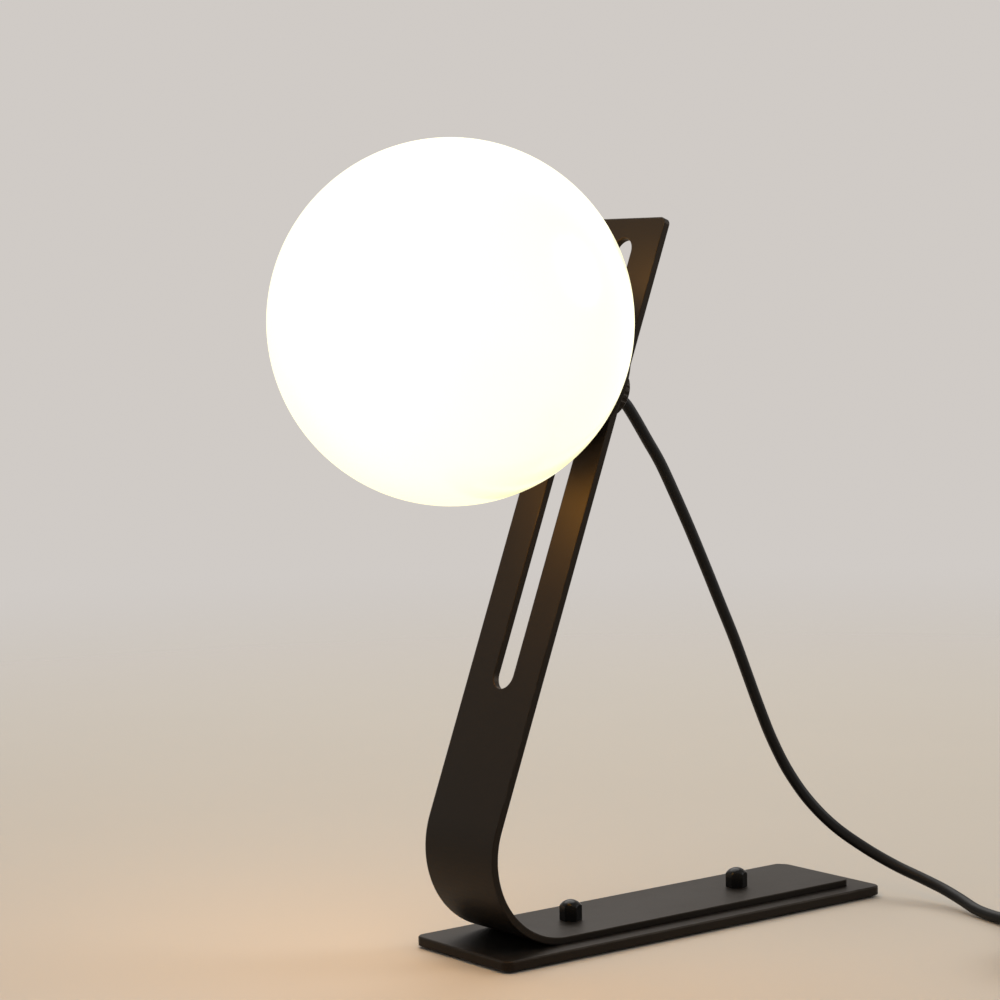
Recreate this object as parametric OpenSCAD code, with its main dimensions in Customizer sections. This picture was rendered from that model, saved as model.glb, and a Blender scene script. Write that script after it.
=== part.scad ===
// Globe table lamp on a bent and slotted steel stand.
// Millimetres. The origin is the middle of the base's underside on the table,
// X runs along the base away from the globe, Y across it and Z up.

/* [Base] */
// Length of the base plate
base_l = 215; // [190:1:250]
// Width of the base plate
base_w = 64; // [54:1:90]
// Thickness of the base plate
base_t = 4; // [3.5:0.5:8]
// Corner radius of the base plate
base_r = 4; // [3:0.5:10]
// Chamfer along the base plate's top edge
base_edge = 0.5; // [0.2:0.1:1]
// Thickness of the soft pad under the base
pad_t = 1; // [0.5:0.5:3]
// Distance from the pad's edge to the plate's edge
pad_inset = 2; // [1:0.5:6]

/* [Stand] */
// Width of the bent strip
strip_w = 46; // [36:1:52]
// Thickness of the bent strip
strip_t = 3; // [2:0.5:5]
// Corner radius at the strip's two ends
strip_r = 3; // [1:0.5:6]
// Inside radius of the bend
bend_r = 36; // [24:1:44]
// Lean of the riser from upright, in degrees
lean = 21; // [15:1:25]
// Length of the straight riser above the bend
riser_l = 266.5; // [262:0.5:300]
// Distance from the strip's foot to the base plate's end
foot_gap = 11.5; // [6:0.5:24]
// Width of the slot in the riser
slot_w = 13; // [12:0.5:16]
// Length of the slot in the riser
slot_l = 200; // [160:1:202]
// Distance from the slot to the riser's top edge
slot_top = 9.1; // [7:0.1:16]

/* [Stand fixings] */
// Distance between the two stand screws
screw_span = 96; // [80:1:110]
// Thread diameter of the stand screws
screw_d = 5; // [4:0.5:6]
// Width across the flats of the cap nuts
nut_af = 8.4; // [8:0.1:11]
// Height of the cap nuts
nut_h = 8.8; // [7.6:0.1:10]
// How far round the cap nuts stand once tight
nut_turn = 22; // [0:1:59]
// Width across the flats of the screws' hex sockets
key_af = 3; // [2:0.5:3]

/* [Globe] */
// Outside diameter of the glass globe
globe_d = 150; // [130:1:170]
// Wall thickness of the glass
glass_t = 2.5; // [2:0.1:4]
// Diameter of the globe's mouth
mouth_d = 48; // [46:1:50]
// Height of the head's axis up the riser
head_pos = 192.4; // [150:0.1:210]
// Gap from the globe's sphere to the riser's front face
globe_gap = 0.4; // [0.4:0.1:3]

/* [Fitter] */
// Outside diameter of the cup that holds the globe
fitter_d = 56; // [56:1:64]
// Sheet thickness of the cup
fitter_t = 1.5; // [1:0.1:2]
// Sheet thickness of the globe's spring clips
clip_t = 0.8; // [0.5:0.1:1]
// Width of the globe's spring clips
clip_w = 6; // [5:0.5:8]

/* [Clamp] */
// Outside diameter of the threaded nipple
nipple_d = 10; // [9:0.5:10]
// Bore of the threaded nipple
nipple_bore = 7; // [6:0.5:7]
// Diameter of the clamp knob
knob_d = 22; // [18:0.2:28]
// Length of the clamp knob
knob_l = 12.3; // [10:0.1:20]
// Number of flutes round the clamp knob
knob_flutes = 24; // [12:1:30]
// Depth of the flutes
flute_depth = 0.4; // [0.2:0.1:0.8]
// Diameter of the washer behind the riser
washer_d = 24; // [20:1:36]
// Thickness of the washer behind the riser
washer_t = 1.5; // [1:0.5:3]

/* [Lampholder] */
// Outside diameter of the lampholder's cap
cap_d = 26; // [25:0.5:27]
// Length of the lampholder's cap
cap_l = 17.4; // [16:0.1:20]
// Wall thickness of the lampholder's outer shell
shell_t = 1.1; // [0.8:0.1:2]
// Length of the lampholder's outer shell
shell_l = 30; // [28:1:31]
// Outside diameter of the bulb's round dome
bulb_d = 45; // [40:1:50]

/* [Cord] */
// Diameter of the round cord
cord_d = 5; // [4:0.5:5]
// Number of sides on the free cord
cord_sides = 10; // [8:1:12]
// Outside radius of the stored coil, to the cord's middle
coil_r = 38.5; // [37.5:0.5:39]
// Gap between the turns of the coil
coil_gap = 0.6; // [0.55:0.05:0.8]

/* [Switch] */
// Length of the switch's body
sw_l = 44; // [42:1:48]
// Width of the switch's body
sw_w = 22; // [20:1:26]
// Height of the switch's lower half
sw_base_h = 8; // [7.5:0.5:10]
// Height of the switch's cover
sw_cover_h = 6; // [6:0.5:7]
// Length of the cord necks on the switch
neck_l = 6; // [4:0.5:8]
// Tilt of the rocker to each side, in degrees
rocker_tilt = 8; // [5:1:9]

/* [Plug] */
// Width of the plug's body
plug_w = 35.3; // [34:0.1:36]
// Thickness of the plug's body
plug_h = 13.7; // [12:0.1:14]
// Length of the plug's body
plug_l = 34; // [30:1:36]
// Diameter of the plug's pins
pin_d = 4; // [3.5:0.1:4]
// Length of the plug's pins
pin_l = 19; // [17:1:20]
// Distance between the plug's pins
pin_span = 18.6; // [17.5:0.1:19]
// Length of the ribbed sleeve behind the plug
relief_l = 24; // [22:1:26]

/* [Fits] */
// Gap between the riser and what slides along it
slide_gap = 0.1; // [0.05:0.05:0.2]
// Gap between the slot's sides and the bush in it
slot_fit = 0.3; // [0.2:0.05:0.5]
// Radial fit of the knob on the nipple's thread
thread_fit = 0.08; // [0.04:0.01:0.1]
// Radial fit of the rocker on its pin
pivot_fit = 0.05; // [0.02:0.01:0.1]
// Radial clearance of holes round fixed pins and screws
hole_fit = 0.1; // [0.05:0.01:0.2]

/* [Hidden] */
$fn = 72;
eps = 0.01;

// Levels from the table up
plate_z = pad_t;
strip_z = pad_t + base_t;
seat_z = strip_z + strip_t;

// Bend, riser and slot
bend_x = -base_l / 2 + bend_r + strip_t;
bend_z = strip_z + bend_r + strip_t;
riser_x = bend_x - (bend_r + strip_t) * cos(lean);
riser_z = bend_z + (bend_r + strip_t) * sin(lean);
foot_x = base_l / 2 - foot_gap;
bend_steps = 36;
slot_hi = riser_l - slot_top;
slot_lo = slot_hi - slot_l;

// Stand screws
csk_d = screw_d * 1.84;
csk_h = (csk_d - screw_d) / 2;
nut_hole_h = nut_h - 2.2;

// Head stack, measured forward from the riser's front face
floor_u = slide_gap;
inside_u = floor_u + fitter_t;
lock_t = 3;
lock_af = nipple_d + 4;
lock_u = inside_u + lock_t;
cap_top_u = lock_u + cap_l;
nipple_top_u = lock_u + 5.9;
block_u = nipple_top_u + 3.5;
block_d = cap_d - 4.2;
block_t = cap_top_u + 3 - block_u;
contact_u = block_u + block_t;
contact_t = 1;
screw_shell_d = 15.4;
screw_shell_t = 0.6;
screw_shell_l = 16;
shell_u = cap_top_u - 4;
shell_d = cap_d + 2 * (hole_fit + shell_t);
bulb_u = contact_u + contact_t;
bulb_cap_d = 13.9;
bulb_cap_l = 24;
housing_l = 23;

// Globe on its gasket
globe_r = globe_d / 2;
glass_in_r = globe_r - glass_t;
globe_u = globe_r + globe_gap;
mouth_r = mouth_d / 2;
function outer_u(r) = globe_u - sqrt(globe_r * globe_r - r * r);
function inner_u(r) = globe_u - sqrt(glass_in_r * glass_in_r - r * r);
gasket_top_u = outer_u(mouth_r) - 0.02;
rim_in_r = fitter_d / 2 - fitter_t;
rim_u = outer_u(rim_in_r) - 0.35;
clip_r = mouth_r - 2.7;
lip_r = mouth_r + 1.8;
lip_u = inner_u(norm([lip_r, clip_w / 2])) + 0.05;
rivet_r = clip_r - 3.8;
rivet_d = 2.4;

// Clamp stack, measured behind the riser's front face
washer_u = -strip_t - slide_gap;
knob_u = washer_u - washer_t - slide_gap;
knob_end_u = knob_u - knob_l;
nipple_end_u = knob_end_u + 1;
exit_u = knob_end_u - 0.2;
bush_bore = cord_d + 0.2;

// In-line switch on the floor, turned so that the cord runs in at its +X end
sw_pos = [68, -170];
sw_turn = 45;
sw_half = sw_l / 2 + neck_l;
pivot_z = sw_base_h + 2.5;
pivot_d = 3;
rocker_l = 20;
rocker_w = 9.4;
rocker_gap = 0.3;

// Coil, tie and plug on the floor
tie_t = 0.8;
tie_w = 6;
tie_fit = 0.4;
coil_pitch = cord_d + coil_gap;
coil_low = tie_t + tie_fit + cord_d / 2;
coil_high = coil_low + coil_pitch;
coil_pos = [93, -224.5];
coil_start = -135;
coil_in = 2.9375;
coil_step = 15;
tie_at = 110;
plug_x = coil_pos[0] + coil_r;
plug_y = -138;
relief_y = plug_y - plug_l - relief_l;

// Route of the cord from the knob to the switch, chosen for where the knob is drawn
drawn_exit = [-20, 0, 231.5];
free_route = [
    [-17.1, 0, 230.1], [-14.2, 0, 228.1], [-11.75, 0.1, 225.6], [-7.8, 0.3, 220.6], [-4, 0.7, 215.7],
    [-0.4, 1.1, 211], [7, 1.5, 201], [14.5, 1.5, 188], [23.5, 1.5, 171.5],
    [32.5, 1.5, 154], [41, 1.5, 137], [49.5, 1.5, 120], [57, 1.5, 103.5], [64, 1.5, 88],
    [71.5, 1, 72], [80, -0.5, 56.5], [88.5, -5, 42.5], [97, -13, 30.5], [105, -25, 21],
    [110.5, -38, 14.5], [113.5, -51, 10.5], [114.5, -63, 7.5], [113, -75, 5], [110, -87, 3],
    [107.5, -99, 2.5], [105.5, -111, 3], [103, -123, 4.5], [99.5, -134.5, 6.5]
];
// Route of the cord from the switch round to the coil
link_route = [
    [38, -203, 7.5], [36.5, -212.5, 6.5], [39, -222, 5], [44.5, -230, 4], [52.5, -238, 3.7]
];

function unit(v) = v / norm(v);
function behind(u) = head_at + u * [-cos(lean), 0, sin(lean)];
head_at = [riser_x + head_pos * sin(lean), 0, riser_z + head_pos * cos(lean)];
exit_at = behind(exit_u);
exit_way = [cos(lean), 0, -sin(lean)];
exit_shift = exit_at - drawn_exit;
sw_way = [cos(sw_turn), sin(sw_turn), 0];
sw_mid = [sw_pos[0], sw_pos[1], sw_base_h];
floor_z = cord_d / 2;

// Smooth curve through a list of points, with m steps between each two
function between(a, b, c, d, t) =
    0.5 * (2 * b + (c - a) * t + (2 * a - 5 * b + 4 * c - d) * t * t + (3 * b - a - 3 * c + d) * t * t * t);
function smooth(p, m) = concat(
    [for (i = [0 : len(p) - 2], k = [0 : m - 1])
        between(p[max(i - 1, 0)], p[i], p[i + 1], p[min(i + 2, len(p) - 1)], k / m)],
    [p[len(p) - 1]]);
function above_floor(p) = [for (q = p) [q[0], q[1], max(q[2], floor_z)]];

free_path = smooth(concat(
    [exit_at],
    above_floor([for (i = [0 : len(free_route) - 1]) free_route[i] + max(0, 1 - i / 15) * exit_shift]),
    [sw_mid + (sw_half + 8) * sw_way, sw_mid + sw_half * sw_way]), 2);

// Coil wound in, over its own inner turns and out again
function coil_point(a, r, z) = [coil_pos[0] + r * cos(a), coil_pos[1] + r * sin(a), z];
coil_in_r = coil_r - coil_pitch * coil_in;
function coil_at(t) =
    t <= coil_in ? coil_point(coil_start + 360 * t, coil_r - coil_pitch * t, coil_low) :
    t < coil_in + 0.5 ? coil_climb(coil_start + 360 * t, (t - coil_in) * 2) :
    coil_point(coil_start + 360 * t, coil_in_r + coil_pitch * (t - coil_in - 0.5), coil_high);
function coil_climb(a, s) = coil_point(a, coil_in_r - coil_pitch * s * (1 - s) / 2,
    coil_low + (coil_high - coil_low) * (1 - cos(180 * s)) / 2);
coil_steps = (2 * coil_in + 0.5) * 360 / coil_step;
coil_first_way = [-sin(coil_start), cos(coil_start), 0];
coil_turns_path = [for (i = [0 : coil_steps]) coil_at(i * coil_step / 360)];
coil_first = coil_turns_path[0] - cord_d * coil_first_way;
coil_last = coil_turns_path[coil_steps] + [0, cord_d, 0];
coil_path = concat([coil_first], coil_turns_path, [coil_last]);

link_path = smooth(concat(
    [sw_mid - sw_half * sw_way, sw_mid - (sw_half + 8) * sw_way],
    link_route,
    [coil_first - 6 * coil_first_way, coil_first]), 2);
end_path = smooth([
    coil_last, coil_last + [0, 5, 0], [plug_x, (coil_last[1] + relief_y) / 2, (coil_high + plug_h / 2) / 2],
    [plug_x, relief_y - 5, plug_h / 2], [plug_x, relief_y, plug_h / 2]], 2);

// Least gap between the coil's turns, and the cord's length
coil_least = min([for (i = [0 : coil_steps - 12], j = [i + 12 : coil_steps])
    norm(coil_turns_path[i] - coil_turns_path[j])]) - cord_d;
function path_length(p, i = 1) = i >= len(p) ? 0 : norm(p[i] - p[i - 1]) + path_length(p, i + 1);
echo(coil_least_gap = coil_least);
echo(cord_lengths = [path_length(free_path), path_length(link_path), path_length(coil_path), path_length(end_path)]);

black = "#1c1b1a";
steel = "#b9bcc0";
brass = "#c9a64e";
white = "#f3efe6";

// Local frame on the riser: X up the strip, Z forward out of its front face
module on_riser() {
    translate([riser_x, 0, riser_z]) rotate([0, lean - 90, 0]) children();
}

// Local frame on the head's axis, with Z forward from the riser's front face
module on_axis() {
    on_riser() translate([head_pos, 0, 0]) children();
}

// Local frame in the switch, on the table
module on_switch() {
    translate([sw_pos[0], sw_pos[1], 0]) rotate([0, 0, sw_turn]) children();
}

// Local frame in the plug: Y forward along the pins, from the body's front face
module on_plug() {
    translate([plug_x, plug_y, plug_h / 2]) children();
}

// Rectangle with round corners, centred
module round_rect(l, w, r) {
    square([l - 2 * r, w], center = true);
    square([l, w - 2 * r], center = true);
    for (x = [-1, 1], y = [-1, 1]) translate([x * (l / 2 - r), y * (w / 2 - r)]) circle(r);
}

// Disc or ring on the Z axis between two levels
module ring_at(d, bore, z0, z1) {
    translate([0, 0, z0]) difference() {
        cylinder(d = d, h = z1 - z0);
        if (bore > 0) translate([0, 0, -1]) cylinder(d = bore, h = z1 - z0 + 2);
    }
}

// Tube of n sides along a path of points, with its ends square to the two ways given
module tube(path, n, first_way, last_way) {
    last = len(path) - 1;
    rings = [for (i = [0 : last]) let (
        t = i == 0 ? first_way : i == last ? last_way : unit(path[i + 1] - path[i - 1]),
        s = unit(cross(t, [0, 0, 1])),
        v = cross(s, t))
        for (k = [0 : n - 1]) path[i] + cord_d / 2 * (cos(360 * k / n) * s + sin(360 * k / n) * v)];
    sides = [for (i = [0 : last - 1], k = [0 : n - 1])
        [i * n + k, i * n + (k + 1) % n, (i + 1) * n + (k + 1) % n, (i + 1) * n + k]];
    ends = [[for (k = [n - 1 : -1 : 0]) k], [for (k = [0 : n - 1]) last * n + k]];
    polyhedron(rings, concat(ends, sides));
}

module base_pad() {
    color("#2a2a2a") linear_extrude(pad_t)
        round_rect(base_l - 2 * pad_inset, base_w - 2 * pad_inset, base_r - pad_inset / 2);
}

// Bar with chamfered top edges, for one direction of the base plate
module edged_bar(l, w) {
    rotate([90, 0, 90]) translate([0, 0, -l / 2]) linear_extrude(l) polygon([
        [-w / 2, 0], [w / 2, 0], [w / 2, base_t - base_edge], [w / 2 - base_edge, base_t],
        [-w / 2 + base_edge, base_t], [-w / 2, base_t - base_edge]]);
}

module base_plate() {
    color(black) translate([0, 0, plate_z]) difference() {
        union() {
            edged_bar(base_l - 2 * base_r, base_w);
            rotate([0, 0, 90]) edged_bar(base_w - 2 * base_r, base_l);
            for (x = [-1, 1], y = [-1, 1])
                translate([x * (base_l / 2 - base_r), y * (base_w / 2 - base_r), 0]) rotate_extrude()
                    polygon([[0, 0], [base_r, 0], [base_r, base_t - base_edge], [base_r - base_edge, base_t], [0, base_t]]);
        }
        for (x = [-1, 1]) translate([x * screw_span / 2, 0, 0]) {
            translate([0, 0, -1]) cylinder(d = screw_d + 2 * hole_fit, h = base_t + 2);
            translate([0, 0, -eps])
                cylinder(d1 = csk_d + 2 * hole_fit, d2 = screw_d + 2 * hole_fit, h = csk_h + eps);
        }
    }
}

// Side view of the strip: along the foot, round the bend and up the riser, and back inside
module strip_profile() {
    function arc(r, a0, a1) = [for (i = [0 : bend_steps]) let (a = a0 + (a1 - a0) * i / bend_steps)
        [bend_x + r * cos(a), bend_z + r * sin(a)]];
    top = [riser_x + riser_l * sin(lean), riser_z + riser_l * cos(lean)];
    polygon(concat(
        [[foot_x, strip_z]], arc(bend_r + strip_t, 270, 180 - lean),
        [top, top + strip_t * [cos(lean), -sin(lean)]], arc(bend_r, 180 - lean, 270),
        [[foot_x, seat_z]]));
}

// Waste outside the two round corners at a strip end that points along X, with each arc run a hair past both edges
module corner_waste(x) {
    past = 0.03;
    mid = [x - strip_r + past, strip_w / 2 - strip_r + past];
    for (side = [0, 1]) mirror([0, side, 0]) translate([0, 0, -strip_t - 1]) linear_extrude(2 * strip_t + 2)
        polygon(concat(
            [for (i = [0 : 8]) mid + strip_r * [cos(90 * i / 8), sin(90 * i / 8)]],
            [mid + [0, strip_r + 1], mid + [strip_r + 1, strip_r + 1], mid + [strip_r + 1, 0]]));
}

module stand_strip() {
    color(black) difference() {
        rotate([90, 0, 0]) translate([0, 0, -strip_w / 2]) linear_extrude(strip_w) strip_profile();
        translate([0, 0, seat_z]) corner_waste(foot_x);
        on_riser() corner_waste(riser_l);
        for (x = [-1, 1]) translate([x * screw_span / 2, 0, strip_z - 1])
            cylinder(d = screw_d + 2 * hole_fit, h = strip_t + 2);
        on_riser() translate([0, 0, -strip_t - 1]) linear_extrude(strip_t + 2) union() {
            translate([slot_lo + slot_w / 2, -slot_w / 2]) square([slot_l - slot_w, slot_w]);
            translate([slot_lo + slot_w / 2, 0]) circle(d = slot_w);
            translate([slot_hi - slot_w / 2, 0]) circle(d = slot_w);
        }
    }
}

module base_screws() {
    color(steel) for (x = [-1, 1]) translate([x * screw_span / 2, 0, plate_z + 0.05]) difference() {
        union() {
            cylinder(d1 = csk_d, d2 = screw_d, h = csk_h);
            cylinder(d = screw_d, h = seat_z - plate_z + nut_hole_h - 0.4);
        }
        translate([0, 0, -1]) rotate([0, 0, 30]) cylinder(d = key_af / cos(30), h = 3, $fn = 6);
    }
}

module cap_nuts() {
    color(black) for (x = [-1, 1]) translate([x * screw_span / 2, 0, seat_z]) difference() {
        intersection() {
            rotate([0, 0, nut_turn]) cylinder(d = nut_af / cos(30), h = nut_h + 1, $fn = 6);
            translate([0, 0, nut_h * 0.36]) sphere(nut_h * 0.64);
        }
        translate([0, 0, -1]) cylinder(d = screw_d + hole_fit, h = nut_hole_h + 1);
    }
}

module fitter_cup() {
    color(black) on_axis() difference() {
        ring_at(fitter_d, 0, floor_u, rim_u);
        ring_at(2 * rim_in_r, 0, inside_u, rim_u + 1);
        ring_at(nipple_d + 2 * hole_fit, 0, floor_u - 1, inside_u + 1);
        for (a = [60, 180, 300]) rotate([0, 0, a]) translate([rivet_r, 0, 0])
            ring_at(rivet_d + 2 * hole_fit, 0, floor_u - 1, inside_u + 1);
    }
}

module globe_gasket() {
    color(white) on_axis() ring_at(2 * rim_in_r - 0.4, mouth_d - 4, inside_u, gasket_top_u);
}

module globe_glass() {
    color([1, 0.98, 0.94]) on_axis() difference() {
        translate([0, 0, globe_u]) sphere(globe_r);
        translate([0, 0, globe_u]) sphere(glass_in_r);
        ring_at(mouth_d, 0, -1, globe_u - glass_in_r + 12);
    }
}

module globe_clips() {
    color(steel) on_axis() for (a = [60, 180, 300]) rotate([0, 0, a]) difference() {
        union() {
            translate([rivet_r - 3, -clip_w / 2, inside_u]) cube([clip_r - rivet_r + 3, clip_w, clip_t]);
            translate([clip_r - clip_t, -clip_w / 2, inside_u]) cube([clip_t, clip_w, lip_u + clip_t - inside_u]);
            translate([clip_r - clip_t, -clip_w / 2, lip_u]) cube([lip_r - clip_r + clip_t, clip_w, clip_t]);
        }
        translate([rivet_r, 0, 0]) ring_at(rivet_d + 2 * hole_fit, 0, inside_u - 1, inside_u + clip_t + 1);
    }
}

module clip_rivets() {
    color(steel) on_axis() for (a = [60, 180, 300]) rotate([0, 0, a]) translate([rivet_r, 0, 0]) {
        ring_at(rivet_d, 0, floor_u, inside_u + clip_t + 0.8);
        ring_at(rivet_d + 2, 0, inside_u + clip_t, inside_u + clip_t + 0.8);
    }
}

module nipple() {
    color(brass) on_axis() ring_at(nipple_d, nipple_bore, nipple_end_u, nipple_top_u);
}

module lock_nut() {
    color(steel) on_axis() translate([0, 0, inside_u]) difference() {
        cylinder(d = lock_af / cos(30), h = lock_t, $fn = 6);
        translate([0, 0, -1]) cylinder(d = nipple_d + hole_fit, h = lock_t + 2);
    }
}

module slot_bush() {
    color("#303030") on_axis() ring_at(slot_w - 2 * slot_fit, nipple_d + 2 * hole_fit, washer_u, floor_u);
}

module rear_washer() {
    color(black) on_axis() ring_at(washer_d, nipple_d + 2 * hole_fit, washer_u - washer_t, washer_u);
}

module clamp_knob() {
    color(black) on_axis() difference() {
        translate([0, 0, knob_end_u]) rotate_extrude() polygon([
            [nipple_d / 2 + thread_fit, 0], [knob_d / 2 - 1, 0], [knob_d / 2, 1],
            [knob_d / 2, knob_l - 0.5], [knob_d / 2 - 0.5, knob_l], [nipple_d / 2 + thread_fit, knob_l]]);
        for (i = [0 : knob_flutes - 1]) rotate([0, 0, i * 360 / knob_flutes])
            translate([knob_d / 2 + 1.3 - flute_depth, 0, knob_end_u - 1]) cylinder(d = 2.6, h = knob_l - 1.5);
    }
}

module cord_bush() {
    color("#262626") on_axis() {
        ring_at(nipple_d - 0.4, bush_bore, exit_u, nipple_end_u);
        ring_at(nipple_bore - 0.1, bush_bore, nipple_end_u, nipple_end_u + 6);
    }
}

module cord_tail() {
    color(black) on_axis() ring_at(cord_d, 0, exit_u + 0.05, nipple_top_u - 1.5);
}

module lamp_wires() {
    color("#7a4b2a") on_axis() for (y = [-1, 1]) translate([0, y * 1.2, 0])
        ring_at(1.8, 0, nipple_top_u - 1.5, block_u);
}

module holder_cap() {
    color("#232323") on_axis() difference() {
        ring_at(cap_d, nipple_d + hole_fit, lock_u, cap_top_u);
        ring_at(cap_d - 8, 0, nipple_top_u + 0.5, block_u + 1);
        ring_at(block_d + 0.2, 0, block_u, cap_top_u + 1);
    }
}

module contact_block() {
    color(white) on_axis() ring_at(block_d, 0, block_u, contact_u);
}

module screw_shell() {
    color(brass) on_axis()
        ring_at(screw_shell_d, screw_shell_d - 2 * screw_shell_t, contact_u, contact_u + screw_shell_l);
}

module centre_contact() {
    color(brass) on_axis() ring_at(6, 0, contact_u, bulb_u);
}

module holder_shell() {
    color("#232323") on_axis() difference() {
        ring_at(shell_d, 0, shell_u, shell_u + shell_l);
        ring_at(cap_d + 2 * hole_fit, 0, shell_u - 1, cap_top_u);
        ring_at(block_d + 0.6, 0, cap_top_u - 1, shell_u + shell_l - 1.5);
        ring_at(17.6, 0, shell_u + shell_l - 2, shell_u + shell_l + 1);
    }
}

module bulb_cap() {
    color(steel) on_axis() translate([0, 0, bulb_u]) rotate_extrude() polygon([
        [0, 0], [2.5, 0], [3.5, 2], [bulb_cap_d / 2, 3.5], [bulb_cap_d / 2, bulb_cap_l - 1.5],
        [8, bulb_cap_l], [0, bulb_cap_l]]);
}

module bulb_housing() {
    color(white) on_axis() translate([0, 0, bulb_u + bulb_cap_l]) rotate_extrude() polygon([
        [0, 0], [8.5, 0], [11, 6], [bulb_d / 2 - 2.5, housing_l - 3], [bulb_d / 2 - 1, housing_l], [0, housing_l]]);
}

module bulb_dome() {
    color(white) on_axis() translate([0, 0, bulb_u + bulb_cap_l + housing_l]) intersection() {
        translate([0, 0, 3]) sphere(d = bulb_d);
        cylinder(d = bulb_d + 2, h = bulb_d);
    }
}

module cord_free() {
    color(black) tube(free_path, cord_sides, exit_way, -sw_way);
}

// Outline of the switch's body with its two necks
module switch_outline() {
    square([sw_l - sw_w, sw_w], center = true);
    for (x = [-1, 1]) translate([x * (sw_l - sw_w) / 2, 0]) circle(d = sw_w);
    square([2 * sw_half, cord_d + 4], center = true);
}

module switch_base() {
    color(black) on_switch() difference() {
        linear_extrude(sw_base_h) switch_outline();
        translate([-15, -7, 2]) cube([30, 14, sw_base_h]);
        for (x = [-1, 1]) translate([x * 18.5, 0, 0]) {
            translate([0, 0, -1]) cylinder(d = 5, h = 3);
            cylinder(d = 2.5 + 2 * hole_fit, h = sw_base_h + 1);
        }
    }
}

module switch_cover() {
    color(black) on_switch() difference() {
        translate([0, 0, sw_base_h]) linear_extrude(sw_cover_h) switch_outline();
        translate([-13, -5.5, sw_base_h - 1]) cube([26, 11, sw_cover_h - 0.6]);
        translate([-rocker_l / 2, -rocker_w / 2 - rocker_gap, sw_base_h])
            cube([rocker_l, rocker_w + 2 * rocker_gap, sw_cover_h + 1]);
        translate([0, 8.05, pivot_z]) rotate([90, 0, 0]) cylinder(d = pivot_d + 0.04, h = 16.1);
        for (x = [-1, 1]) translate([x * 18.5, 0, sw_base_h - 1]) cylinder(d = 2.5 + hole_fit, h = 4.2);
    }
}

module switch_terminals() {
    color(brass) on_switch() for (x = [-1, 1]) translate([x * 10 - 3, -3, 2]) cube([6, 6, sw_base_h - 4.4]);
}

module switch_screws() {
    color(steel) on_switch() for (x = [-1, 1]) translate([x * 18.5, 0, 0]) {
        translate([0, 0, 0.4]) cylinder(d = 4.6, h = 1.6);
        translate([0, 0, 0.4]) cylinder(d = 2.5, h = sw_base_h + 2.6);
    }
}

module rocker_pin() {
    color(steel) on_switch() translate([0, 8, pivot_z]) rotate([90, 0, 0]) cylinder(d = pivot_d, h = 16);
}

// Rocker with a shallow V on top, drawn tipped to its on side
module switch_rocker() {
    color("#161616") on_switch() translate([0, 0, pivot_z]) rotate([0, rocker_tilt, 0]) difference() {
        rotate([90, 0, 0]) translate([0, 0, -rocker_w / 2]) linear_extrude(rocker_w) intersection() {
            circle(rocker_l / 2 - 0.4);
            polygon([
                [-rocker_l, -2.2], [rocker_l, -2.2], [rocker_l, 3.9 + rocker_l * tan(rocker_tilt)],
                [0, 3.9], [-rocker_l, 3.9 + rocker_l * tan(rocker_tilt)]]);
        }
        rotate([90, 0, 0]) translate([0, 0, -rocker_w])
            cylinder(d = pivot_d + 2 * pivot_fit, h = 2 * rocker_w);
    }
}

module cord_link() {
    color(black) tube(link_path, 8, -sw_way, coil_first_way);
}

module cord_coil() {
    color(black) tube(coil_path, 6, coil_first_way, [0, 1, 0]);
}

// Strap round the coil's turns, with its free tail laid along the outside
module cord_tie() {
    in_r = coil_in_r + coil_pitch * 0.24 - cord_d / 2 - 0.5;
    out_r = coil_r - coil_pitch * 0.68 + cord_d / 2 + 0.5;
    top = coil_high + cord_d / 2 + tie_fit;
    color("#3a3a3a") translate([coil_pos[0], coil_pos[1], 0]) rotate([0, 0, tie_at]) difference() {
        translate([in_r - tie_t, -tie_w / 2, 0]) cube([out_r - in_r + 2 * tie_t, tie_w, top + tie_t]);
        translate([in_r, -tie_w, tie_t]) cube([out_r - in_r, 2 * tie_w, top - tie_t]);
    }
}

module cord_end() {
    color(black) tube(end_path, 8, [0, 1, 0], [0, 1, 0]);
}

module plug_relief() {
    rib = relief_l / 6;
    color(black) on_plug() translate([0, -plug_l - relief_l, 0]) rotate([-90, 0, 0]) rotate_extrude() union() {
        polygon([[0, 0], [cord_d / 2 + 0.4, 0], [cord_d / 2 + 1.4, relief_l], [0, relief_l]]);
        for (i = [0 : 5]) translate([0, i * rib + rib * 0.25]) square([cord_d / 2 + 1 + i * 0.25, rib * 0.5]);
    }
}

module plug_body() {
    color(black) on_plug() intersection() {
        translate([0, 0, -plug_h / 2]) linear_extrude(plug_h) polygon([
            [-plug_w / 2 + 1, 0], [plug_w / 2 - 1, 0], [plug_w / 2, -1], [plug_w / 2, -plug_l * 0.4],
            [plug_w / 2 - 3, -plug_l * 0.6], [7, -plug_l], [-7, -plug_l],
            [-plug_w / 2 + 3, -plug_l * 0.6], [-plug_w / 2, -plug_l * 0.4], [-plug_w / 2, -1]]);
        translate([0, 1, 0]) rotate([90, 0, 0]) linear_extrude(plug_l + 2) polygon([
            [-plug_w / 2, -1.5], [-plug_w / 2 + plug_h / 2 - 1.5, -plug_h / 2], [plug_w / 2 - plug_h / 2 + 1.5, -plug_h / 2],
            [plug_w / 2, -1.5], [plug_w / 2, 1.5], [plug_w / 2 - plug_h / 2 + 1.5, plug_h / 2],
            [-plug_w / 2 + plug_h / 2 - 1.5, plug_h / 2], [-plug_w / 2, 1.5]]);
    }
}

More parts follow.
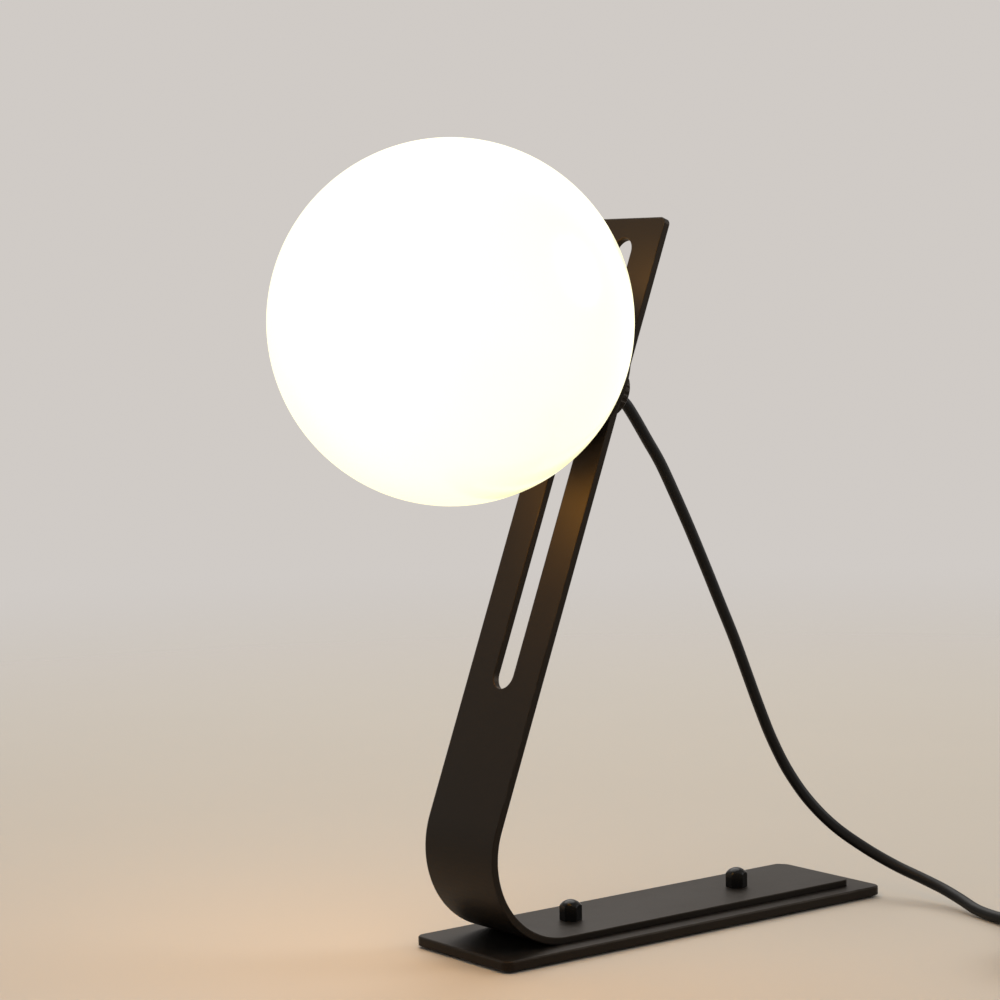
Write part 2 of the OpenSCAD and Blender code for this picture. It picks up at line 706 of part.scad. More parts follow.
module plug_pins() {
    color(steel) on_plug() for (x = [-1, 1]) translate([x * pin_span / 2, 0, 0]) rotate([-90, 0, 0]) {
        cylinder(d = pin_d, h = pin_l - 1);
        translate([0, 0, pin_l - 1]) cylinder(d1 = pin_d, d2 = pin_d - 1.2, h = 1);
    }
}

base_pad();
base_plate();
stand_strip();
base_screws();
cap_nuts();
fitter_cup();
globe_gasket();
globe_glass();
globe_clips();
clip_rivets();
nipple();
lock_nut();
slot_bush();
rear_washer();
clamp_knob();
cord_bush();
cord_tail();
lamp_wires();
holder_cap();
contact_block();
screw_shell();
centre_contact();
holder_shell();
bulb_cap();
bulb_housing();
bulb_dome();
cord_free();
switch_base();
switch_cover();
switch_terminals();
switch_screws();
rocker_pin();
switch_rocker();
cord_link();
cord_coil();
cord_tie();
cord_end();
plug_relief();
plug_body();
plug_pins();
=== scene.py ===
# %% [markdown]
# A globe table lamp on a bent steel stand, dressed for rendering.
# The solid model already holds every piece in metres, with the origin under the middle of the base.
# This lesson loads it, looks at it from where the photographer stood, lays the cords,
# and gives each piece the finish of the real one.

# %% Load the solid model
import math

import bpy
import bmesh
from mathutils import Matrix, Vector


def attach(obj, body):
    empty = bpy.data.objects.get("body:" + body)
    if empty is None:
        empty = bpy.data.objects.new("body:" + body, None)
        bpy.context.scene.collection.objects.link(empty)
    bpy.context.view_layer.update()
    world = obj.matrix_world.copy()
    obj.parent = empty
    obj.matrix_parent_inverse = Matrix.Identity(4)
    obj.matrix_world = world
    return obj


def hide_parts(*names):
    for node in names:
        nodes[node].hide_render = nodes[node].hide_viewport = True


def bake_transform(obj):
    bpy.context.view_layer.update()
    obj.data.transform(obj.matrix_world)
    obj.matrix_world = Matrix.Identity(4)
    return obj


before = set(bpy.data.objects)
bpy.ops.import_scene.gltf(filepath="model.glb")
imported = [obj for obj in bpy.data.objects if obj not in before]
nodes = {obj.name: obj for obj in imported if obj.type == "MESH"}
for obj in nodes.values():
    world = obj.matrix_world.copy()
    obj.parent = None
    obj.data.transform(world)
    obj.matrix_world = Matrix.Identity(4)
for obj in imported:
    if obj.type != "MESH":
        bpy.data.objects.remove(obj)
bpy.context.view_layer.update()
scene = bpy.context.scene

# %% [markdown]
# The camera comes first, because the unseen length of the cord has to stay out of its view.
# Its place was worked out from the edges of the base, strip, slot and globe in the photograph:
# it stands a little above the table, over a metre away, with a long lens that flattens the perspective.
# A camera that tracks an empty would be quicker to set up, but it stays level.
# Building its matrix from three axes keeps the small roll of the picture exact.

# %% Camera
AIM = Vector((-0.08248, 0.0, 0.19043))
AZIMUTH, ELEVATION, ROLL = math.radians(-37.7), math.radians(4.7), math.radians(-0.97)
DISTANCE = 1.16549
LENS_MM, SENSOR_MM = 101.02, 36.0
NEAREST, FARTHEST = 0.01, 50.0
UP = Vector((0, 0, 1))


def add_object(name, data):
    """Puts a mesh, camera or light into the scene under that name."""
    obj = bpy.data.objects.new(name, data)
    scene.collection.objects.link(obj)
    return obj


back = Vector((
    math.sin(AZIMUTH) * math.cos(ELEVATION),
    -math.cos(AZIMUTH) * math.cos(ELEVATION),
    math.sin(ELEVATION),
))
level = back.cross(-UP).normalized()
upright = back.cross(level)
right = math.cos(ROLL) * level + math.sin(ROLL) * upright
up = math.cos(ROLL) * upright - math.sin(ROLL) * level

eye = bpy.data.cameras.new("eye")
eye.lens, eye.sensor_width = LENS_MM, SENSOR_MM
eye.clip_start, eye.clip_end = NEAREST, FARTHEST
camera = add_object("camera", eye)
axes = Matrix((right, up, back)).transposed().to_4x4()
camera.matrix_world = Matrix.Translation(AIM + back * DISTANCE) @ axes
bpy.context.scene.camera = camera
print("camera at", [round(v, 4) for v in camera.matrix_world.translation])

# %% [markdown]
# A mains cord is a round tube along a smooth line.
# The line runs through listed points with a spline that passes through each of them,
# so the cord lies exactly where its solid lies.
# A curve object with a bevel would do as well, but a mesh tube can follow the sliding head.
# The cord starts at the knob, whose place follows from the stand:
# along the foot, round the bend and up the riser.

# %% Cord routes
MM = 0.001
CORD_D = 5.0
LEAN = math.radians(21)
BASE_L, STRIP_Z, BEND_R, HEAD_RUN, KNOB_REACH = 215.0, 5.0, 39.0, 192.4, 17.2
HEAD = Vector((
    round(-BASE_L / 2 + BEND_R * (1 - math.cos(LEAN)) + HEAD_RUN * math.sin(LEAN), 4),
    0.0,
    round(STRIP_Z + BEND_R * (1 + math.sin(LEAN)) + HEAD_RUN * math.cos(LEAN), 4),
))
EXIT_WAY = Vector((math.cos(LEAN), 0.0, -math.sin(LEAN)))
EXIT = HEAD + KNOB_REACH * EXIT_WAY
SWITCH_MID = Vector((68.0, -170.0, 8.0))
SWITCH_WAY = Vector((math.sqrt(0.5), math.sqrt(0.5), 0.0))
SWITCH_HALF, SWITCH_LEAD = 28.0, 8.0
ROUTE_STEPS = 8

FREE_ROUTE = [
    (-17.1, 0, 230.1), (-14.2, 0, 228.1), (-11.75, 0.1, 225.6), (-7.8, 0.3, 220.6), (-4, 0.7, 215.7),
    (-0.4, 1.1, 211), (7, 1.5, 201), (14.5, 1.5, 188), (23.5, 1.5, 171.5),
    (32.5, 1.5, 154), (41, 1.5, 137), (49.5, 1.5, 120), (57, 1.5, 103.5), (64, 1.5, 88),
    (71.5, 1, 72), (80, -0.5, 56.5), (88.5, -5, 42.5), (97, -13, 30.5), (105, -25, 21),
    (110.5, -38, 14.5), (113.5, -51, 10.5), (114.5, -63, 7.5), (113, -75, 5), (110, -87, 3),
    (107.5, -99, 2.5), (105.5, -111, 3), (103, -123, 4.5), (99.5, -134.5, 6.5),
]


def on_switch(distance):
    """A place on the long axis of the switch, that far from its middle."""
    return SWITCH_MID + distance * SWITCH_WAY


def smooth(points, steps):
    """A curve through all the points, with that many steps between each two."""
    p = [Vector(q) for q in points]
    line = []
    for i in range(len(p) - 1):
        a, b, c, d = p[max(i - 1, 0)], p[i], p[i + 1], p[min(i + 2, len(p) - 1)]
        bend = 2 * a - 5 * b + 4 * c - d
        twist = 3 * b - a - 3 * c + d
        for k in range(steps):
            t = k / steps
            line.append(0.5 * (2 * b + (c - a) * t + bend * t**2 + twist * t**3))
    return line + [p[-1]]


def length_of(line):
    """The sum of all the steps along a line."""
    return sum((b - a).length for a, b in zip(line, line[1:]))


free_line = smooth(
    [EXIT, *FREE_ROUTE, on_switch(SWITCH_HALF + SWITCH_LEAD), on_switch(SWITCH_HALF)], ROUTE_STEPS)
print("cord from knob to switch:", round(length_of(free_line)), "mm")

# %% [markdown]
# The spare length is wound up as it would be for storage: three turns inwards on the table,
# up over the innermost turn, and three turns outwards on top.
# It could be drawn point by point like the hanging part, but a formula is shorter and evener:
# the radius changes at a steady rate, so every turn lies a cord's width from the next.

# %% Stored coil
COIL_MID, COIL_R, COIL_PITCH = Vector((93.0, -224.5, 0.0)), 38.5, 5.6
COIL_IN, COIL_CLIMB, COIL_STEPS = 2.9375, 0.5, 306
COIL_START = math.radians(-135)
COIL_LOW = 3.7
COIL_HIGH = COIL_LOW + COIL_PITCH
PLUG_X, PLUG_Z, RELIEF_Y = 131.5, 6.85, -196.0
COIL_LEAD, PLUG_LEAD, PLUG_STEPS = 6.0, 5.0, 6
LINK_ROUTE = [(38, -203, 7.5), (36.5, -212.5, 6.5), (39, -222, 5), (44.5, -230, 4), (52.5, -238, 3.7)]


def coil_point(turn):
    """Where the cord's middle is after that many turns."""
    innermost = COIL_R - COIL_PITCH * COIL_IN
    if turn <= COIL_IN:
        r, z = COIL_R - COIL_PITCH * turn, COIL_LOW
    elif turn < COIL_IN + COIL_CLIMB:
        s = (turn - COIL_IN) / COIL_CLIMB
        r = innermost - COIL_PITCH * s * (1 - s) / 2
        z = COIL_LOW + COIL_PITCH * (1 - math.cos(math.pi * s)) / 2
    else:
        r, z = innermost + COIL_PITCH * (turn - COIL_IN - COIL_CLIMB), COIL_HIGH
    a = COIL_START + 2 * math.pi * turn
    return COIL_MID + Vector((r * math.cos(a), r * math.sin(a), z))


coil_turns = 2 * COIL_IN + COIL_CLIMB
coil_line = [coil_point(coil_turns * i / COIL_STEPS) for i in range(COIL_STEPS + 1)]
lead_way = Vector((-math.sin(COIL_START), math.cos(COIL_START), 0.0))
coil_first = coil_line[0] - CORD_D * lead_way
coil_last = coil_line[-1] + Vector((0, CORD_D, 0))
link_line = smooth([
    on_switch(-SWITCH_HALF), on_switch(-SWITCH_HALF - SWITCH_LEAD), *LINK_ROUTE,
    coil_first - COIL_LEAD * lead_way, coil_first], ROUTE_STEPS)
end_line = smooth([
    coil_last, coil_last + Vector((0, PLUG_LEAD, 0)),
    (PLUG_X, (coil_last.y + RELIEF_Y) / 2, (COIL_HIGH + PLUG_Z) / 2),
    (PLUG_X, RELIEF_Y - PLUG_LEAD, PLUG_Z), (PLUG_X, RELIEF_Y, PLUG_Z)], PLUG_STEPS)
plug_line = link_line + coil_line + end_line
print("cord from switch to plug:", round(length_of(plug_line)), "mm")

# %% [markdown]
# The cord's jacket is a tube. A curve's bevel makes one by itself, but it chooses its own end faces.
# Here the tube is swept by hand: a ring of points square to the line at each step, joined to the next ring.
# Taking the sideways direction from the line and the vertical keeps the rings from twisting,
# and the two end rings stand square to what the cord runs into.

# %% Tube sweep


def join_rings(bm, rings, soft):
    """Joins each ring of points to the next one with faces. A ring of one point is a tip."""
    for low, high in zip(rings, rings[1:]):
        for k in range(max(len(low), len(high))):
            corners = (
                low[k % len(low)], low[(k + 1) % len(low)],
                high[(k + 1) % len(high)], high[k % len(high)])
            bm.faces.new(list(dict.fromkeys(corners))).smooth = soft


def close_ends(bm, rings):
    """Fills the first and the last ring with one face each."""
    for ring in (rings[0], rings[-1]):
        bm.faces.new(ring)


def as_piece(name, bm):
    """Turns all faces outwards and makes the mesh an object of that name."""
    bmesh.ops.recalc_face_normals(bm, faces=bm.faces)
    mesh = bpy.data.meshes.new(name)
    bm.to_mesh(mesh)
    bm.free()
    return add_object(name, mesh)


def swept_tube(name, line, diameter, sides, first_way, last_way):
    """A closed tube along a line, with its ends square to the two ways given."""
    bm = bmesh.new()
    turn = [2 * math.pi * k / sides for k in range(sides)]
    rings = []
    for i, p in enumerate(line):
        along = (line[min(i + 1, len(line) - 1)] - line[max(i - 1, 0)]).normalized()
        if i in (0, len(line) - 1):
            along = last_way if i else first_way
        side = along.cross(UP).normalized()
        over = side.cross(along)
        around = [math.cos(a) * side + math.sin(a) * over for a in turn]
        rings.append([bm.verts.new((p + diameter / 2 * way) * MM) for way in around])
    join_rings(bm, rings, soft=True)
    close_ends(bm, rings)
    return as_piece(name, bm)


SEEN_SIDES, STORED_SIDES = 20, 16
hanging_cord = swept_tube("hanging_cord", free_line, CORD_D, SEEN_SIDES, EXIT_WAY, -SWITCH_WAY)
stored_cord = swept_tube("stored_cord", plug_line, CORD_D, STORED_SIDES, -SWITCH_WAY, Vector((0, 1, 0)))
print("swept", hanging_cord.name, "and", stored_cord.name)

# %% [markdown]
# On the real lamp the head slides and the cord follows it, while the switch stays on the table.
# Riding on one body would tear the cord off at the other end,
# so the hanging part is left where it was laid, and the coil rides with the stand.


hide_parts("cord_free")
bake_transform(hanging_cord)

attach(stored_cord, "stand")
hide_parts("cord_link", "cord_coil", "cord_end")

# %% [markdown]
# A woven strap keeps the coil together: a thin band bent round the turns, with its tail pressed
# against its own outside. A plane with a thickness modifier would need its corners rounded afterwards,
# so the band is swept as a flat section along a rounded rectangle.

# %% Strap path
STRAP_AT, STRAP_W, STRAP_T = math.radians(110), 6.0, 0.7
STRAP_NEAR, STRAP_FAR, STRAP_LOW, STRAP_HIGH, STRAP_BEND = 19.6, 37.75, 0.42, 12.4, 1.6
CORNER_STEPS = 6
TAIL_START, TAIL_STEP, TAIL_POINTS = 4.0, 1.5, 5


def strap_path():
    """The band's middle as points of radius and height, with round corners and a short tail."""
    near, far = STRAP_NEAR + STRAP_BEND, STRAP_FAR - STRAP_BEND
    low, high = STRAP_LOW + STRAP_BEND, STRAP_HIGH - STRAP_BEND
    points = []
    for mid_r, mid_z, start in ((far, high, 90), (far, low, 0), (near, low, -90), (near, high, -180)):
        for k in range(CORNER_STEPS + 1):
            a = math.radians(start - 90 * k / CORNER_STEPS)
            points.append((mid_r + STRAP_BEND * math.cos(a), mid_z + STRAP_BEND * math.sin(a)))
    for k in range(TAIL_POINTS):
        lift = STRAP_T / 2 if k else 0.0
        points.append((STRAP_NEAR + TAIL_START + TAIL_STEP * k, STRAP_HIGH + lift))
    return points


path = strap_path()
print("the strap bends along", len(path), "points")

# %% [markdown]
# Each point of the path becomes a row of four corners, the section of the band,
# and the rows are joined as the rings of the tube were.
# Smooth shading would round the band off, so its faces stay flat-shaded.

# %% Bend the strap
out_way = Vector((math.cos(STRAP_AT), math.sin(STRAP_AT), 0.0))
side_way = Vector((-math.sin(STRAP_AT), math.cos(STRAP_AT), 0.0))
bm = bmesh.new()
rows = []
for i, (r, z) in enumerate(path):
    ahead, behind = path[min(i + 1, len(path) - 1)], path[max(i - 1, 0)]
    run = Vector((ahead[0] - behind[0], ahead[1] - behind[1])).normalized()
    thick = Vector((-run.y, run.x)) * STRAP_T / 2
    row = []
    for skin_side, edge_side in ((1, -1), (1, 1), (-1, 1), (-1, -1)):
        reach, height = r + skin_side * thick.x, z + skin_side * thick.y
        corner = reach * out_way + edge_side * STRAP_W / 2 * side_way + height * UP
        row.append(bm.verts.new((COIL_MID + corner) * MM))
    rows.append(row)
join_rings(bm, rows, soft=False)
close_ends(bm, rows)
cord_strap = as_piece("cord_strap", bm)
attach(cord_strap, "stand")
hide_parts("cord_tie")

print("cords laid, and the coil held by", cord_strap.name)

# %% [markdown]
# The globe is blown opal glass: a shell of even thickness with a mouth that was cut and fire-polished,
# so its lip is round. A sphere with a hole cut in it would have a sharp lip.
# Turning one profile about the head's axis gives both skins and the lip in one mesh.

# %% Glass globe
GLOBE_R, GLASS_T, MOUTH_R, GLOBE_U = 75.0, 2.5, 24.0, 75.4
MOUTH_EASE = 1.3
SKIN_STEPS, LIP_STEPS, TURN_STEPS = 72, 8, 144
TIP_R = 1e-6
FORWARD = -EXIT_WAY


def globe_profile():
    """Radius and distance along the axis, from the pole down the outside, round the lip and up the inside."""
    inner_r, lip_r = GLOBE_R - GLASS_T, GLASS_T / 2
    mouth = math.asin((MOUTH_R + MOUTH_EASE) / GLOBE_R)
    sweep = [math.pi + (mouth - math.pi) * i / SKIN_STEPS for i in range(SKIN_STEPS + 1)]
    outer = [(GLOBE_R * math.sin(a), GLOBE_U - GLOBE_R * math.cos(a)) for a in sweep]
    inner = [(inner_r * math.sin(a), GLOBE_U - inner_r * math.cos(a)) for a in reversed(sweep)]
    mid_r = (GLOBE_R - lip_r) * math.sin(mouth)
    mid_u = GLOBE_U - (GLOBE_R - lip_r) * math.cos(mouth)
    lip = []
    for k in range(1, LIP_STEPS):
        out = lip_r * math.cos(math.pi * k / LIP_STEPS)
        over = lip_r * math.sin(math.pi * k / LIP_STEPS)
        lip.append((
            mid_r - over * math.cos(mouth) + out * math.sin(mouth),
            mid_u - over * math.sin(mouth) - out * math.cos(mouth)))
    return outer + lip + inner


def turned(name, profile, steps):
    """A mesh made by turning points of radius and distance about the head's axis."""
    side = Vector((0, 1, 0))
    across = FORWARD.cross(side)
    turn = [2 * math.pi * k / steps for k in range(steps)]
    around = [math.cos(a) * side + math.sin(a) * across for a in turn]
    bm = bmesh.new()
    rings = []
    for r, u in profile:
        ways = [Vector()] if r < TIP_R else around
        rings.append([bm.verts.new((HEAD + FORWARD * u + r * way) * MM) for way in ways])
    join_rings(bm, rings, soft=True)
    return as_piece(name, bm)


glass_globe = turned("glass_globe", globe_profile(), TURN_STEPS)
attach(glass_globe, "head")
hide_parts("globe_glass")
print("globe has", len(glass_globe.data.vertices), "points")

# %% [markdown]
# Finishes share a few effects, so each effect is a node group with its own sockets.
# Nodes could be wired by hand in the shader editor. A few small helpers place and link them instead,
# so that every group and finish below reads as a recipe.

# %% Node helpers


def label_of(word):
    """A socket's label from a Python word: Base_Color is Base Color."""
    return word.replace("_", " ")


def open_group(name, inputs, outputs):
    """An empty node group with its sockets, and its two end nodes."""
    group = bpy.data.node_groups.new(name, "ShaderNodeTree")
    for label, default in inputs:
        socket = group.interface.new_socket(label, in_out="INPUT", socket_type="NodeSocketFloat")
        socket.default_value = default
    for label, kind in outputs:
        group.interface.new_socket(label, in_out="OUTPUT", socket_type=kind)
    return group, group.nodes.new("NodeGroupInput"), group.nodes.new("NodeGroupOutput")


def put(tree, kind, values=None, **settings):
    """Adds a node, sets its properties, and sets or links its inputs."""
    node = tree.nodes.new(kind)
    for key, value in settings.items():
        setattr(node, key, value)
    for key, value in (values or {}).items():
        if isinstance(value, bpy.types.NodeSocket):
            tree.links.new(value, node.inputs[key])
        else:
            node.inputs[key].default_value = value
    return node


def feed(tree, node, **sockets):
    """Links what changes over the surface to the inputs of a node."""
    for word, socket in sockets.items():
        tree.links.new(socket, node.inputs[label_of(word)])


print("helpers that open a group, put a node into it and feed its inputs")

# %% [markdown]
# Some nodes come back in nearly every effect: a place on the piece, a sum or product, a noise,
# and a range that is stretched from 0 to 1. Object coordinates go with a piece as it moves,
# so no pattern swims when the head slides. Generated ones would stretch with each piece's box.

# %% Often-used nodes


def object_place(tree):
    """The place on the piece, in metres."""
    return put(tree, "ShaderNodeTexCoord").outputs["Object"]


def true_normal(tree):
    """The way that the surface faces."""
    return put(tree, "ShaderNodeNewGeometry").outputs["Normal"]


def math_node(tree, operation, a, b=0.0, clamp=False):
    """A sum, product or power of two values."""
    return put(tree, "ShaderNodeMath", {0: a, 1: b}, operation=operation, use_clamp=clamp).outputs[0]


def share(tree, a, part_a, b, part_b):
    """Two values added, each by its own part."""
    return math_node(
        tree, "ADD", math_node(tree, "MULTIPLY", a, part_a), math_node(tree, "MULTIPLY", b, part_b))


def dot(tree, a, b):
    """How far one vector goes along another."""
    return put(tree, "ShaderNodeVectorMath", {0: a, 1: b}, operation="DOT_PRODUCT").outputs["Value"]


def noise(tree, place, scale, detail=3.0, roughness=0.5):
    """Cloudy values round one half."""
    values = {"Vector": place, "Scale": scale, "Detail": detail, "Roughness": roughness}
    return put(tree, "ShaderNodeTexNoise", values).outputs["Fac"]


def span(tree, value, low, high, to_low=0.0, to_high=1.0, ease="LINEAR"):
    """Stretches the range from low to high over another range, and stops at its ends."""
    values = {"Value": value, "From Min": low, "From Max": high, "To Min": to_low, "To Max": to_high}
    return put(tree, "ShaderNodeMapRange", values, interpolation_type=ease).outputs["Result"]


print("helpers for places, sums, noises and ranges")

# %% [markdown]
# Powder coat is sprayed as dust and melted in an oven. It flows into low swells about a millimetre wide
# and keeps a finer grain on top, which breaks up the reflections of a satin black.
# One noise with much detail would mix both sizes, so each has its own.

# %% Powder coat effect
VALUE, VECTOR = "NodeSocketFloat", "NodeSocketVector"

powder, given, made = open_group(
    "powder grain", [("Swell Scale", 700.0), ("Grain Scale", 3200.0)], [("Height", VALUE), ("Tone", VALUE)])
place = object_place(powder)
swell = noise(powder, place, given.outputs["Swell Scale"], detail=2.0)
grain = noise(powder, place, given.outputs["Grain Scale"], detail=2.0, roughness=0.6)
cloud = noise(powder, place, 28.0, detail=4.0)
feed(
    powder, made, Height=share(powder, swell, 0.7, grain, 0.3),
    Tone=span(powder, share(powder, cloud, 0.6, grain, 0.4), 0.32, 0.68))
print("group:", powder.name)

# %% [markdown]
# Sheet edges and corners are never razor sharp: the coat rounds them and hands rub them.
# Bevels in the mesh would change the solids. A bevel normal rounds only the shading,
# by a fraction of a millimetre, and where it leaves the true normal there is an edge,
# which gives a mask for light rubbing.

# %% Edge effect
BEVEL_SAMPLES = 6
FLAT_MATCH, CORNER_MATCH = 0.995, 0.85

edge, given, made = open_group(
    "rubbed edge", [("Width", 0.0006), ("Break Up", 0.5)], [("Mask", VALUE), ("Normal", VECTOR)])
bevel = put(edge, "ShaderNodeBevel", {"Radius": given.outputs["Width"]}, samples=BEVEL_SAMPLES)
rounded = bevel.outputs["Normal"]
corner = span(edge, dot(edge, rounded, true_normal(edge)), FLAT_MATCH, CORNER_MATCH)
patch = noise(edge, object_place(edge), 90.0, detail=4.0, roughness=0.6)
thinned = math_node(edge, "SUBTRACT", patch, math_node(edge, "MULTIPLY", given.outputs["Break Up"], 0.2))
rubbed_spots = span(edge, thinned, 0.35, 0.55)
feed(edge, made, Mask=math_node(edge, "MULTIPLY", corner, rubbed_spots, clamp=True), Normal=rounded)
print("group:", edge.name)

# %% [markdown]
# Dust settles only on what faces up. It could be scattered as specks of mesh,
# but at this size a tint is enough. The height of the normal says how level a place is,
# and a noise leaves it thicker in some spots than in others.

# %% Dust effect
dust, given, made = open_group("settled dust", [("Amount", 0.3)], [("Mask", VALUE)])
facing_up = put(dust, "ShaderNodeSeparateXYZ", {0: true_normal(dust)}).outputs["Z"]
spots = noise(dust, object_place(dust), 260.0, detail=6.0, roughness=0.7)
settled = math_node(dust, "MULTIPLY", span(dust, facing_up, 0.75, 1.0), span(dust, spots, 0.42, 0.75))
feed(dust, made, Mask=math_node(dust, "MULTIPLY", settled, given.outputs["Amount"], clamp=True))
print("group:", dust.name)

# %% [markdown]
# Moulded plastic copies the spark-eroded texture of its mould: fine rounded pits of nearly one size.
# A noise has no such size, but the cells of a smooth Voronoi texture do.
# Metal that was turned or rolled has fine lines instead: a noise squeezed hard in one direction.

# %% Mould texture and machining lines
LINE_SQUEEZE = (5200.0, 500.0, 500.0)

mould, given, made = open_group("mould texture", [("Scale", 2600.0)], [("Height", VALUE), ("Tone", VALUE)])
place = object_place(mould)
pit_values = {"Vector": place, "Scale": given.outputs["Scale"]}
pits = put(mould, "ShaderNodeTexVoronoi", pit_values, feature="SMOOTH_F1").outputs["Distance"]
feed(mould, made, Height=pits, Tone=span(mould, noise(mould, place, 45.0, detail=4.0), 0.3, 0.7))

lines, given, made = open_group("machining lines", [("Fineness", 1.0)], [("Height", VALUE), ("Tone", VALUE)])
place = object_place(lines)
squeezed = put(lines, "ShaderNodeMapping", {"Vector": place, "Scale": LINE_SQUEEZE}).outputs["Vector"]
scratches = noise(lines, squeezed, given.outputs["Fineness"], roughness=0.6)
stains = noise(lines, place, 120.0, detail=5.0, roughness=0.65)
feed(lines, made, Height=scratches, Tone=span(lines, stains, 0.3, 0.7))
print("groups:", mould.name, "and", lines.name)

# %% [markdown]
# A finish is a Principled shader with its steady values set on the shader itself.
# Only what changes over the surface is linked: colour, roughness and normal.
# A value that is the same all over could come from a node as well, but then an exported model may lose it.

# %% Finish helpers


def finish(name, **steady):
    """A new material, its node tree and its shader with the steady values set."""
    material = bpy.data.materials.new(name)
    material.use_nodes = True
    tree = material.node_tree
    shader = tree.nodes["Principled BSDF"]
    for word, value in steady.items():
        shader.inputs[label_of(word)].default_value = value
    return material, tree, shader


def place_group(tree, group, **values):
    """Places an effect with its own values, and gives its outputs."""
    node = put(tree, "ShaderNodeGroup", node_tree=group)
    for word, value in values.items():
        node.inputs[label_of(word)].default_value = value
    return node.outputs


def mix_colour(tree, mask, a, b):
    """Goes from colour a to colour b as the mask goes from 0 to 1."""
    a, b = [c if isinstance(c, bpy.types.NodeSocket) else (*c, 1.0) for c in (a, b)]
    return put(tree, "ShaderNodeMix", {0: mask, 6: a, 7: b}, data_type="RGBA").outputs[2]


def bump(tree, shader, height, strength, distance, normal=None):
    """Raises the surface by the height, on top of a rounded normal if there is one."""
    values = {"Height": height, "Strength": strength, "Distance": distance}
    if normal is not None:
        values["Normal"] = normal
    feed(tree, shader, Normal=put(tree, "ShaderNodeBump", values).outputs["Normal"])


print("helpers that make a finish from effects")

# %% [markdown]
# Satin black powder coat covers the base, strip, cup, washer and knob.
# It is a deep black whose sheen is weak and warm when seen straight on and grows pale at low angles,
# so the upright faces look dark and the level ones mirror the bright room.
# A clear coat over black could do it, but a low index with a warm specular tint gives just that in one layer.
# Rubbed edges and a trace of dust are slightly paler.

# %% Satin black powder coat
COAT_IOR = 1.28
WARM_SHEEN = (1.0, 0.72, 0.48, 1.0)
COAT_DARK, COAT_LIGHT = (0.0036, 0.0036, 0.0034), (0.0062, 0.0061, 0.0058)
COAT_RUBBED, COAT_DUST = (0.030, 0.029, 0.028), (0.16, 0.15, 0.135)


def powder_black(name, edge_width, dust_amount):
    """The coat with its edges rounded by that width and that much dust on it."""
    material, tree, shader = finish(name, IOR=COAT_IOR, Specular_Tint=WARM_SHEEN)
    coat = place_group(tree, powder)
    rim = place_group(tree, edge, Width=edge_width)
    film = place_group(tree, dust, Amount=dust_amount)
    body = mix_colour(tree, coat["Tone"], COAT_DARK, COAT_LIGHT)
    rubbed = mix_colour(tree, rim["Mask"], body, COAT_RUBBED)
    satin = span(tree, coat["Tone"], 0.0, 1.0, 0.43, 0.51)
    dusted = math_node(tree, "ADD", satin, math_node(tree, "MULTIPLY", film["Mask"], 0.4))
    feed(tree, shader, Base_Color=mix_colour(tree, film["Mask"], rubbed, COAT_DUST), Roughness=dusted)
    bump(tree, shader, coat["Height"], strength=0.35, distance=0.00006, normal=rim["Normal"])
    return material


coat_on_sheet = powder_black("satin_black_sheet", edge_width=0.0009, dust_amount=0.08)
coat_on_small = powder_black("satin_black_small", edge_width=0.0004, dust_amount=0.04)
print("finishes:", coat_on_sheet.name, coat_on_small.name)

# %% [markdown]
# The cap nuts are a deeper, glossier black than the sheet: a thin lacquer on smooth steel.
# The sheet's own coat would make them look moulded on.
# Less diffuse light and a low roughness leave only small sharp glints on the dome and the corners.

# %% Black lacquer on the nuts
LACQUER_DARK, LACQUER_LIGHT = (0.0016, 0.0016, 0.0016), (0.0032, 0.0031, 0.0030)
LACQUER_RUBBED = (0.020, 0.019, 0.018)

lacquer, tree, shader = finish("black_lacquer", IOR=COAT_IOR)
coat = place_group(tree, powder, Swell_Scale=900.0)
rim = place_group(tree, edge, Width=0.0004)
body = mix_colour(tree, coat["Tone"], LACQUER_DARK, LACQUER_LIGHT)
feed(
    tree, shader, Base_Color=mix_colour(tree, rim["Mask"], body, LACQUER_RUBBED),
    Roughness=span(tree, coat["Tone"], 0.0, 1.0, 0.17, 0.25))
bump(tree, shader, coat["Height"], strength=0.12, distance=0.00005, normal=rim["Normal"])
print("finish:", lacquer.name)

# %% [markdown]
# The lit globe sends its light out through opal glass. Glass with a bulb inside would be slow
# and noisy to trace, so the glass glows by itself: a warm colour, strong enough that a photograph
# shows it white.
# The bulb throws its light away from the stand, so the glow yellows on the stand's side,
# and it dies away behind, where the cup and the lampholder stand in the light.
# Where the glass is seen at a slant its glow is soft, as on any thick milky glass.

# %% Glowing opal glass
GLOW_WARM, GLOW_YELLOW = (1.0, 0.48, 0.080), (0.96, 0.46, 0.016)
GLOW_SLANTED, GLOW_BEHIND = (0.128, 0.122, 0.067), (0.022, 0.011, 0.003)
STAND_WAY = Vector((1.0, 0.0, 0.5)).normalized()
CUP_END, CUP_SHADE_END = -0.0670, -0.0550
GLASS_DARK, GLASS_LIGHT = (0.78, 0.765, 0.73), (0.82, 0.805, 0.77)

